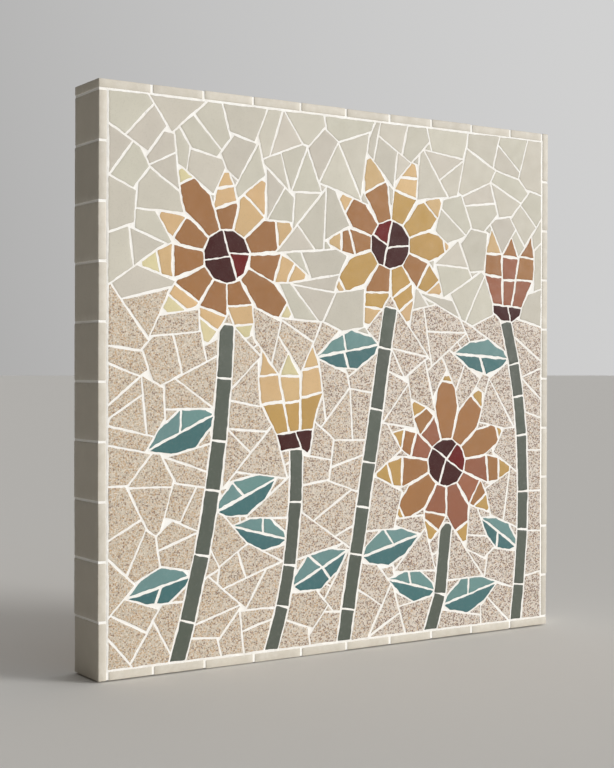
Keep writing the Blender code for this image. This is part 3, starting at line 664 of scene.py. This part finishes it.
def within(loop, points):
    """Which points an outline goes round."""
    a = np.array(loop)
    b = np.roll(a, -1, axis=0)
    points = np.asarray(points)
    x, z = points[:, 0, None], points[:, 1, None]
    spans = (a[:, 1] > z) != (b[:, 1] > z)
    rise = np.where(b[:, 1] == a[:, 1], 1.0, b[:, 1] - a[:, 1])
    crossing = a[:, 0] + (z - a[:, 1]) / rise * (b[:, 0] - a[:, 0])
    return (spans & (crossing > x)).sum(axis=1) % 2 == 1


# Meshes


def linked(name, data):
    """A new object in the scene."""
    obj = bpy.data.objects.new(name, data)
    bpy.context.scene.collection.objects.link(obj)
    return obj


class Build:
    """Vertices with their shading values, and faces, of one piece."""

    def __init__(self):
        self.vertices = []
        self.faces = []
        self.values = {"tone": [], "rim": [], "broken": []}

    def vertex(self, place, tone=0.5, rim=0.0, broken=0.0):
        self.vertices.append(place)
        for name, value in (("tone", tone), ("rim", rim), ("broken", broken)):
            self.values[name].append(value)
        return len(self.vertices) - 1

    def piece(self, name, material, smooth_below=50.0):
        """The finished object, riding on the panel's body."""
        mesh = bpy.data.meshes.new(name)
        mesh.from_pydata(self.vertices, [], self.faces)
        mesh.materials.append(material)
        for key, values in self.values.items():
            mesh.attributes.new(key, "FLOAT", "POINT").data.foreach_set("value", values)
        mesh.polygons.foreach_set("use_smooth", [True] * len(mesh.polygons))
        mesh.set_sharp_from_angle(angle=math.radians(smooth_below))
        mesh.update()
        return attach(linked(name, mesh), "root")

    def close_behind(self, ring, depth, **values):
        """Walls from a ring of vertices back to the plane y = depth, and a back there."""
        back = [self.vertex((self.vertices[k][0], depth, self.vertices[k][2]), **values) for k in ring]
        for i in range(len(ring)):
            j = (i + 1) % len(ring)
            self.faces.append((ring[j], ring[i], back[i], back[j]))
        self.faces.append(tuple(reversed(back)))


def own_tone(rng, spread):
    """Where a tile's shade lies between its material's darkest, 0, and lightest, 1."""
    return min(1.0, max(0.0, rng.gauss(0.5, spread)))


def face_points(outline):
    """The points of a shard's face: its outline, rings inside that and a wide grid."""
    loop = np.array(outline)
    normals = inward_normals(outline)
    points = [tuple(p) for p in loop]
    for inset, spacing in ((0.35 * ARRIS, 1), (ARRIS, 1), (5 * ARRIS, 2)):
        inner = loop[::spacing] + inset * normals[::spacing]
        clear = within(outline, inner) & (edge_distance(outline, inner) > 0.93 * inset)
        points += [tuple(p) for p in inner[clear]]
    low, high = loop.min(axis=0), loop.max(axis=0)
    ticks = [np.arange(low[i] + FACE_GRID / 2, high[i], FACE_GRID) for i in (0, 1)]
    grid = np.stack(np.meshgrid(*ticks), axis=-1).reshape(-1, 2)
    if len(grid):
        grid = grid[within(outline, grid)]
    if len(grid):
        points += [tuple(p) for p in grid[edge_distance(outline, grid) > 8 * ARRIS]]
    return points


def add_shard(build, outline, rng):
    """One shard: a flat face with a worn arris, upright broken sides and a flat back."""
    face = list(range(len(outline)))
    corners, _, triangles, originals, *_ = delaunay_2d_cdt(
        face_points(outline), [], [face], 1, 1e-7, True)
    flat = [tuple(c) for c in corners]
    tone = own_tone(rng, 0.22)
    middle = centroid(outline)
    tilt = (rng.gauss(0, TILT), rng.gauss(0, TILT))
    sink = rng.uniform(0.0, MOST_SUNK) * MM + MOST_TILTED
    first = len(build.vertices)
    for (x, z), d in zip(flat, edge_distance(outline, flat).tolist()):
        drop = ARRIS * (1 - math.sqrt(1 - (1 - d / ARRIS) ** 2)) if d < ARRIS else 0.0
        tilted = tilt[0] * (x - middle[0]) + tilt[1] * (z - middle[1])
        tilted = max(-MOST_TILTED, min(MOST_TILTED, tilted))
        rim = math.exp(-d / RIM_REACH)
        broken = 1.0 if d < 0.2 * ARRIS else 0.0
        build.vertex((x, FACE + sink + drop + tilted, z), tone, rim, broken)
    build.faces += [(first + a, first + b, first + c) for a, b, c in triangles]
    on_edge = [None] * len(outline)
    for k, names in enumerate(originals):
        for name in names:
            if name < len(outline):
                on_edge[name] = first + k
    ring = [k for i, k in enumerate(on_edge) if k is not None and k != on_edge[i - 1]]
    build.close_behind(ring, FACE + SHARD_THICK, tone=tone, rim=1.0, broken=1.0)


def lattice_box(build, ticks, shape, tone):
    """The surface of a box on a lattice. shape turns a point of the plain box into its place."""
    index = {}

    def vertex(i, j, k):
        if (i, j, k) not in index:
            plain = [ticks[axis][n] for axis, n in enumerate((i, j, k))]
            place, rim = shape(Vector(plain))
            index[i, j, k] = build.vertex(tuple(place), tone, rim, 0.0)
        return index[i, j, k]

    last = [len(t) - 1 for t in ticks]
    for axis in range(3):
        u, v = (axis + 1) % 3, (axis + 2) % 3
        for side in (0, last[axis]):
            for i in range(last[u]):
                for j in range(last[v]):
                    quad = []
                    for du, dv in ((0, 0), (1, 0), (1, 1), (0, 1)):
                        spot = [0, 0, 0]
                        spot[axis], spot[u], spot[v] = side, i + du, j + dv
                        quad.append(vertex(*spot))
                    build.faces.append(quad if side else quad[::-1])


def edge_ticks(size, radius, spacing):
    """Places across a box: close together in its rounded edges, then evenly spaced."""
    near = [0.0, 0.12 * radius, 0.4 * radius, radius]
    inner = size - 2 * radius
    count = max(1, round(inner / spacing))
    middle = [radius + inner * k / count for k in range(1, count)]
    return near + middle + [size - t for t in reversed(near)]


def rounded(point, size, radius):
    """A point of a plain box's surface, moved onto the box with rounded edges."""
    core = Vector([min(max(point[i], radius), size[i] - radius) for i in range(3)])
    away = point - core
    if away.length < 1e-9:
        return point.copy()
    return core + away.normalized() * radius


# The picture's tones


def on_board(share_x, share_z):
    return (share_x - 0.5) * BOARD_SIDE, (share_z - 0.5) * BOARD_SIDE


STEM_CURVES = {
    "stem_left": ((0.235, 0.600), (0.225, 0.28), (0.128, -0.02)),
    "stem_middle": ((0.605, 0.640), (0.548, 0.30), (0.492, -0.02)),
    "stem_right": ((0.740, 0.210), (0.740, 0.08), (0.70, -0.02)),
    "stem_of_middle_tulip": ((0.386, 0.368), (0.39, 0.15), (0.325, -0.02)),
    "stem_of_right_tulip": ((0.904, 0.618), (0.985, 0.35), (0.93, -0.02)),
}
STEM_HALF_WIDTH = 3.6 * MM
LEAF_JOINT = 2.0 * MM  # shards of one leaf lie nearer to each other than this

# petal tones by the share of the petal's reach, from the flower's centre out or from the foot up
PETAL_TONES = {
    "daisy_left": (("ochre", 0.56), ("sand", 0.78), ("straw", 9.0)),
    "daisy_middle": (("ochre", 0.50), ("gold", 0.74), ("sand", 9.0)),
    "daisy_right": (("rust", 0.52), ("ochre", 0.72), ("gold", 9.0)),
    "tulip_middle": (("gold", 0.42), ("sand", 0.76), ("straw", 9.0)),
    "tulip_right": (("rust", 0.42), ("ochre", 0.76), ("sand", 9.0)),
}


def petal_tone(flower, share, rng):
    """The tone at a share of the reach, now and then the next one for variety."""
    bands = PETAL_TONES[flower]
    share += rng.gauss(0, 0.05)
    return next(tone for tone, limit in bands if share < limit)


def stem_gap(name, point):
    """How far a point is from a stem's middle line."""
    start, bend, end = (on_board(*share) for share in STEM_CURVES[name])
    steps = [k / 60 for k in range(61)]
    return min(math.dist(point, [(1 - t) ** 2 * p + 2 * t * (1 - t) * q + t * t * r
                                 for p, q, r in zip(start, bend, end)]) for t in steps)


def leaf_groups(shards):
    """The shards that lie within a joint of each other, leaf by leaf."""
    groups = []
    for shard in shards:
        near = [g for g in groups
                if any(edge_distance(other, shard).min() < LEAF_JOINT for other in g)]
        groups = [g for g in groups if g not in near] + [[shard] + [s for g in near for s in g]]
    return groups


def leaf_tones(shards):
    """Each leaf's shards with their tone: pale above its midrib and dark below."""
    toned = []
    for group in leaf_groups(shards):
        points = np.array([p for shard in group for p in shard])
        middle = points.mean(axis=0)
        _, axes = np.linalg.eigh(np.cov((points - middle).T))
        across = axes[:, 0] * (1 if axes[1, 0] > 0 else -1)
        for shard in group:
            above = (np.array(centroid(shard)) - middle) @ across > 0
            toned.append(("pale_teal" if above else "teal", shard))
    return toned


def petal_shares(flower, node, shards):
    """How far each petal shard is from a daisy's centre, or from a tulip's foot."""
    if flower.startswith("daisy"):
        low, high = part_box(flower + "_centre")
        middle = ((low.x + high.x) / 2, (low.z + high.z) / 2)
        reach = max(math.dist(middle, p) for shard in shards for p in shard)
        return [math.dist(middle, centroid(shard)) / reach for shard in shards]
    low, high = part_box(node)
    return [(centroid(shard)[1] - low.z) / (high.z - low.z) for shard in shards]


def toned_shards(node, rng):
    """The outlines of a node's shards, each with its tone."""
    shards = face_outlines(node)
    if node == "background_upper":
        return [("cream", shard) for shard in shards]
    if node == "background_lower":
        return [("speckled", shard) for shard in shards]
    if node.startswith("stem"):
        stem = [shard for shard in shards if stem_gap(node, centroid(shard)) < 0.8 * STEM_HALF_WIDTH]
        leaves = [shard for shard in shards if shard not in stem]
        return [("stem_green", shard) for shard in stem] + leaf_tones(leaves)
    flower, part = node.rsplit("_", 1)
    if part == "centre":
        smallest = min(shards, key=area) if flower.startswith("daisy") else None
        return [("red" if shard is smallest else "maroon", shard) for shard in shards]
    shares = petal_shares(flower, node, shards)
    return [(petal_tone(flower, share, rng), shard) for share, shard in zip(shares, shards)]


INLAYS = sorted(name for name in frame["nodes"]
                if name.startswith(("background", "daisy", "tulip", "stem")))


def plans_of(shards):
    return [plan for _, _, plan in shards]


def grown(shards, fixed):
    """Shards as (node, tone, plan), grown as far as the fixed ones let them."""
    plans = tightened(plans_of(shards), plans_of(fixed))
    return [(node, tone, plan) for (node, tone, _), plan in zip(shards, plans)]


def laid_shards(rng):
    """Every shard as (node, tone, plan), with the picture's after the ground's."""
    ground, centres, others = [], [], []
    for node in INLAYS:
        for tone, plan in toned_shards(node, rng):
            if node.startswith("background"):
                ground.append((node, tone, plan))
            elif node.endswith("_centre"):
                centres.append((node, tone, simplified(plan)))
            else:
                others.append((node, tone, simplified(plan)))
    ground = grown(ground, others + centres)
    centres = grown(centres, others + ground)
    picture = others + centres
    for plan in fillings(plans_of(ground + picture)):
        node, tone, _ = min(ground, key=lambda shard: edge_distance(shard[2], [centroid(plan)])[0])
        ground.append((node, tone, plan))
    return ground + picture


def make_shards(rng):
    """Every shard, as one piece for each tone of each part of the picture. Gives all outlines."""
    outlines = []
    builds = {}
    for node, tone, plan in laid_shards(rng):
        swell = 0.0 if node.startswith("background") else SWELL
        outline = nipped(plan, WAVINESS.get(tone, PICTURE_WAVINESS) * MM, swell, rng)
        outlines.append(outline)
        add_shard(builds.setdefault((node, tone), Build()), outline, rng)
    materials = {}
    for (node, tone), build in builds.items():
        if tone not in materials:
            make = speckled_material if tone == "speckled" else tile_material
            materials[tone] = make("tile_" + tone, TONES[tone])
        is_only_tone = sum(other == node for other, _ in builds) == 1
        piece = build.piece((node if is_only_tone else f"{node}_{tone}") + "_shards", materials[tone])
        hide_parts(node)
    return outlines


# Grout


def grout_points(outlines, limit):
    """Points between the shards, each with its distance from the nearest shard or edge tile."""
    count = int(2 * limit / GROUT_PITCH)
    ticks = (np.arange(count) + 0.5) * 2 * limit / count - limit
    xs, zs = (grid.ravel().copy() for grid in np.meshgrid(ticks, ticks))
    draw = np.random.default_rng(SEED)
    xs += draw.uniform(-0.15, 0.15, xs.shape) * MM
    zs += draw.uniform(-0.15, 0.15, zs.shape) * MM
    gap = limit - np.maximum(np.abs(xs), np.abs(zs))
    free = gap > GROUT_GAP
    reach = 5 * MM  # no spot that matters is further from the nearest tile
    for outline in outlines:
        low, high = np.min(outline, axis=0) - reach, np.max(outline, axis=0) + reach
        near = np.nonzero((xs > low[0]) & (xs < high[0]) & (zs > low[1]) & (zs < high[1]) & free)[0]
        spots = np.stack([xs[near], zs[near]], axis=1)
        if not len(spots):
            continue
        inside = within(outline, spots)
        free[near[inside]] = False
        outside = near[~inside]
        gap[outside] = np.minimum(gap[outside], edge_distance(outline, spots[~inside]))
    keep = free & (gap > GROUT_GAP)
    return xs[keep], zs[keep], gap[keep]


def grout_depth(x, z, gap):
    """How far the grout lies below the face at a distance from the nearest tile."""
    broad = noise.noise((x / (6 * MM), 3.0, z / (6 * MM)))
    fine = noise.noise((x / (1.1 * MM), 9.0, z / (1.1 * MM)))
    dip = 1 - math.exp(-gap / GROUT_REACH)
    return GROUT_TOP + dip * (GROUT_DIP + 0.07 * MM * broad) + 0.025 * MM * fine * dip


def joint_points(outlines):
    """The grout's points between the shards as (x, z, depth), with a few pinholes."""
    xs, zs, gaps = (values.tolist() for values in grout_points(outlines, TILE_INNER))
    spare = [i for i, gap in enumerate(gaps) if gap > PINHOLE_GAP]
    holes = random.Random(SEED).sample(spare, PINHOLES)
    points = []
    for i, (x, z, gap) in enumerate(zip(xs, zs, gaps)):
        points.append((x, z, grout_depth(x, z, gap) + (PINHOLE_DEPTH if i in holes else 0.0)))
    for i in holes:
        for k in range(8):
            turn = 2 * math.pi * k / 8
            x, z = xs[i] + PINHOLE_RADIUS * math.cos(turn), zs[i] + PINHOLE_RADIUS * math.sin(turn)
            points.append((x, z, grout_depth(x, z, gaps[i])))
    return points


def sheet_points(outlines):
    """The grout sheet's points as (x, z, depth), and its edges round the shards."""
    points = []
    for reach, depth in ((TILE_INNER + GROUT_UNDER, GROUT_SUNK), (TILE_INNER - 0.05 * MM, GROUT_TOP)):
        count = int(2 * reach / (1.3 * MM))
        for (x0, z0), (x1, z1) in edges_of(square(reach)):
            points += [(x0 + (x1 - x0) * k / count, z0 + (z1 - z0) * k / count, depth)
                       for k in range(count)]
    edges = []
    for outline in outlines:
        first = len(points)
        points += [(x, z, GROUT_TOP) for x, z in outline]
        edges += [(first + k, first + (k + 1) % len(outline)) for k in range(len(outline))]
    for outline in outlines:
        inner = np.array(outline) + POCKET_WALL * inward_normals(outline)
        clear = within(outline, inner) & (edge_distance(outline, inner) > 0.8 * POCKET_WALL)
        points += [(x, z, SHARD_THICK) for x, z in inner[clear].tolist()]
        points.append((*centroid(outline), SHARD_THICK))
    return points + joint_points(outlines), edges


def make_face_grout(outlines, material):
    """The adhesive and grout in front of the board: a sheet with a pocket for every shard."""
    points, edges = sheet_points(outlines)
    spots, _, triangles, originals, *_ = delaunay_2d_cdt(
        [point[:2] for point in points], edges, [], 0, 1e-7, True)
    build = Build()
    for spot, names in zip(spots, originals):
        depth = points[names[0]][2] if names else GROUT_TOP
        build.vertex((spot[0], FACE + depth, spot[1]))
    directed = set()
    for a, b, c in triangles:
        build.faces.append((a, b, c))
        directed.update(((a, b), (b, c), (c, a)))
    rim = {a: b for a, b in directed if (b, a) not in directed}
    ring = [min(rim)]
    while rim[ring[-1]] != ring[0]:
        ring.append(rim[ring[-1]])
    build.close_behind(ring, BOARD_FRONT)
    piece = build.piece("face_grout", material)
    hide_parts(*INLAYS)


# The panel's sides


SIDES = ("left", "top", "right", "bottom")


def side_turn(side):
    """From the frame of the left run, which goes up, to a side's own."""
    return Matrix.Rotation(SIDES.index(side) * math.pi / 2, 4, "Y")


def run_boxes(side):
    """The tiles of a side in the left run's frame, as (name, low, high), from its start on."""
    back = side_turn(side).inverted()
    found = []
    for name in sorted(frame["nodes"]):
        if name.startswith(f"edge_tile_{side}_"):
            low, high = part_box(name)
            ends = [back @ low, back @ high]
            found.append((name, Vector(map(min, *ends)), Vector(map(max, *ends))))
    return found


def add_edge_tile(build, turn, low, high, rng):
    """One edge tile: cushioned edges, a little uneven and out of true."""
    size = high - low
    low = low + Vector((EDGE_SETBACK, 0.0, 0.0))
    size.x -= EDGE_SETBACK
    low.y += rng.uniform(0.02, 0.16) * MM
    size.y -= 0.18 * MM
    radius = EDGE_RADIUS * rng.uniform(0.85, 1.15)
    ticks = [edge_ticks(size[i], radius, 3.2 * MM) for i in range(3)]
    lean = rng.gauss(0, 0.0016)
    shift = rng.uniform(0, 90)

    def shape(point):
        place = rounded(point, size, radius)
        gaps = sorted(min(place[i], size[i] - place[i]) for i in range(3))
        rim = math.exp(-gaps[1] / RIM_REACH)
        ripple = 0.035 * MM * noise.noise((place.y / (7 * MM), shift, place.z / (7 * MM)))
        place.x += 0.04 * MM + ripple + lean * (place.z - size.z / 2)
        if gaps[1] < radius:
            place.x += 0.05 * MM * noise.noise((shift, place.y / (2 * MM), place.z / (2 * MM)))
        return turn @ (low + place), rim

    lattice_box(build, ticks, shape, own_tone(rng, 0.25))


def make_edge_tiles(material, rng):
    """The edge tiles, with a side's as one piece."""
    for side in SIDES:
        build = Build()
        boxes = run_boxes(side)
        for _, low, high in boxes:
            add_edge_tile(build, side_turn(side), low, high, rng)
        piece = build.piece("edge_tiles_" + side, material, 40.0)
        names = [name for name, _, _ in boxes]
        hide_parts(*names)


def add_bed(build, side):
    """The adhesive between the board and a side's tiles, uneven at the back."""
    turn = side_turn(side)
    inner, outer = HALF_BOARD - 0.1 * MM, TILE_INNER + GROUT_UNDER
    length = outer + inner
    size = Vector((outer - inner, -BOARD_FRONT, length))

    def shape(point):
        place = point + Vector((-outer, BOARD_FRONT - 0.5 * MM, -outer))
        wave = noise.noise((place.x / (4 * MM), SIDES.index(side) * 7.0, place.z / (4 * MM)))
        if point.y > DEPTH / 2:
            place.y += 0.25 * MM * wave
        return turn @ place, 0.0

    ticks = [[0.0, 0.5 * size.x, size.x], [0.0, 0.5 * size.y, size.y - 0.3 * MM, size.y],
             [length * k / 120 for k in range(121)]]
    lattice_box(build, ticks, shape, 0.5)


def add_fin(build, turn, start, end, outside, rng):
    """The grout of one joint between edge tiles, hollow where it shows."""
    start -= 0.25 * MM
    end += 0.25 * MM
    outside += FIN_RECESS
    shift = rng.uniform(0, 90)
    size = Vector((-TILE_INNER + 0.2 * MM - outside, DEPTH - 2 * FIN_RECESS, end - start))
    low = Vector((outside, -DEPTH + FIN_RECESS, start))
    middle = size.y / 2

    def shape(point):
        sag = 0.08 * MM * (1 - (2 * point.z / size.z - 1) ** 2)
        wave = noise.noise((point.y / (1.5 * MM), shift, point.x / (1.5 * MM))) * 0.04 * MM
        x = point.x + (sag + wave) * (1 - point.x / size.x)
        y = middle + (point.y - middle) * (1 - (sag + wave) / middle)
        return turn @ (low + Vector((x, y, point.z))), 0.0

    ticks = [edge_ticks(size.x, 0.3 * MM, 0.8 * MM), edge_ticks(size.y, 0.3 * MM, 0.8 * MM),
             [size.z * k / 6 for k in range(7)]]
    lattice_box(build, ticks, shape, 0.5)


def make_edge_grout(material, rng):
    """The adhesive between the board and the edge tiles, and the grout between those tiles."""
    build = Build()
    for side in SIDES:
        add_bed(build, side)
        boxes = run_boxes(side)
        following = run_boxes(SIDES[(SIDES.index(side) + 1) % 4])[0]
        joints = [(one[2].z, two[1].z, max(one[1].x, two[1].x)) for one, two in zip(boxes, boxes[1:])]
        joints.append((boxes[-1][2].z, TILE_INNER + 0.4 * MM, max(boxes[-1][1].x, following[1].z)))
        for start, end, outside in joints:
            add_fin(build, side_turn(side), start, end, outside, rng)
    piece = build.piece("edge_grout_joints", material)
    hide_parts("edge_grout")


def make_board(material):
    """The plywood board, with its arrises just taken off."""
    build = Build()
    size = BOARD_HIGH - BOARD_LOW
    radius = 0.5 * MM
    ticks = [edge_ticks(size[i], radius, 12 * MM) for i in range(3)]

    def shape(point):
        return BOARD_LOW + rounded(point, size, radius), 0.0

    lattice_box(build, ticks, shape, 0.5)
    piece = build.piece("backing_board", material, 40.0)
    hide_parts("board")


# Surroundings


def make_floor():
    mesh = bpy.data.meshes.new("floor")
    level = CAD_LOW.z - 0.2 * MM
    mesh.from_pydata([(x, y, level) for x, y in square(30.0)], [], [(0, 1, 2, 3)])
    floor = linked("floor", mesh)
    s = Shader("floor", Roughness=0.9, Specular_IOR_Level=0.1)
    s.surface.inputs["Base Color"].default_value = linear(229, 227, 223)
    mesh.materials.append(s.material)


KEY_DIRECTION = (-1.0, 1.0, -0.30)  # in which it shines


def make_key_light():
    """A far-away soft light from the front right, as a large window gives."""
    data = bpy.data.lights.new("key", "SUN")
    data.energy = 2.72
    data.angle = math.radians(26.0)
    data.color = (1.0, 0.992, 0.98)
    turn = Vector(KEY_DIRECTION).to_track_quat("-Z", "Y")
    linked("key", data).rotation_euler = turn.to_euler()


BRIGHT_SIDE = (0.92, -0.05, 0.28)  # direction from which most of the world's light comes
BRIGHT_LIGHT = (0.67, 0.67, 0.67, 1.0)
DIM_LIGHT = (0.076, 0.069, 0.060, 1.0)
DIM_UP_TO = -0.45  # share of a direction that goes towards the bright side
BRIGHT_FROM = 0.85


def make_world():
    """Pale light from all round, with less of it from the left."""
    world = bpy.data.worlds.new("studio")
    bpy.context.scene.world = world
    world.use_nodes = True
    tree = world.node_tree
    place = add_node(tree, "ShaderNodeTexCoord").outputs["Generated"]
    inputs = {0: place, 1: BRIGHT_SIDE}
    towards = add_node(tree, "ShaderNodeVectorMath", inputs, operation="DOT_PRODUCT").outputs["Value"]
    inputs = {"Value": towards, "From Min": DIM_UP_TO, "From Max": BRIGHT_FROM}
    spread = add_node(tree, "ShaderNodeMapRange", inputs, interpolation_type="SMOOTHSTEP")
    inputs = {0: spread.outputs["Result"], 6: DIM_LIGHT, 7: BRIGHT_LIGHT}
    light = add_node(tree, "ShaderNodeMix", inputs, data_type="RGBA").outputs[2]
    tree.links.new(light, tree.nodes["Background"].inputs["Color"])


def make_camera():
    """The photograph's view: from the left, level with the panel, at about 0.7 m."""
    bpy.context.scene.view_settings.view_transform = "Standard"
    data = bpy.data.cameras.new("camera")
    data.lens = 66.3
    data.sensor_width = 36.0
    data.clip_start = 0.01
    camera = linked("camera", data)
    side = CAD_HIGH.z - CAD_LOW.z
    forward = Vector((0.54997, 0.83513, -0.00974)).normalized()
    up = Vector((0.00346, 0.00938, 0.99995))
    right = forward.cross(up).normalized()
    up = right.cross(forward)
    turn = Matrix((right, up, -forward)).transposed()
    place = Vector((-1.4939 * side, -2.1363 * side + FACE, 0.0178 * side))
    camera.matrix_world = Matrix.Translation(place) @ turn.to_4x4()
    bpy.context.scene.camera = camera


def main():
    rng = random.Random(SEED)
    make_camera()
    grout = grout_material()
    outlines = make_shards(rng)
    make_face_grout(outlines, grout)
    make_edge_tiles(edge_tile_material(), rng)
    make_edge_grout(grout, rng)
    make_board(board_material())
    make_floor()
    make_key_light()
    make_world()


main()
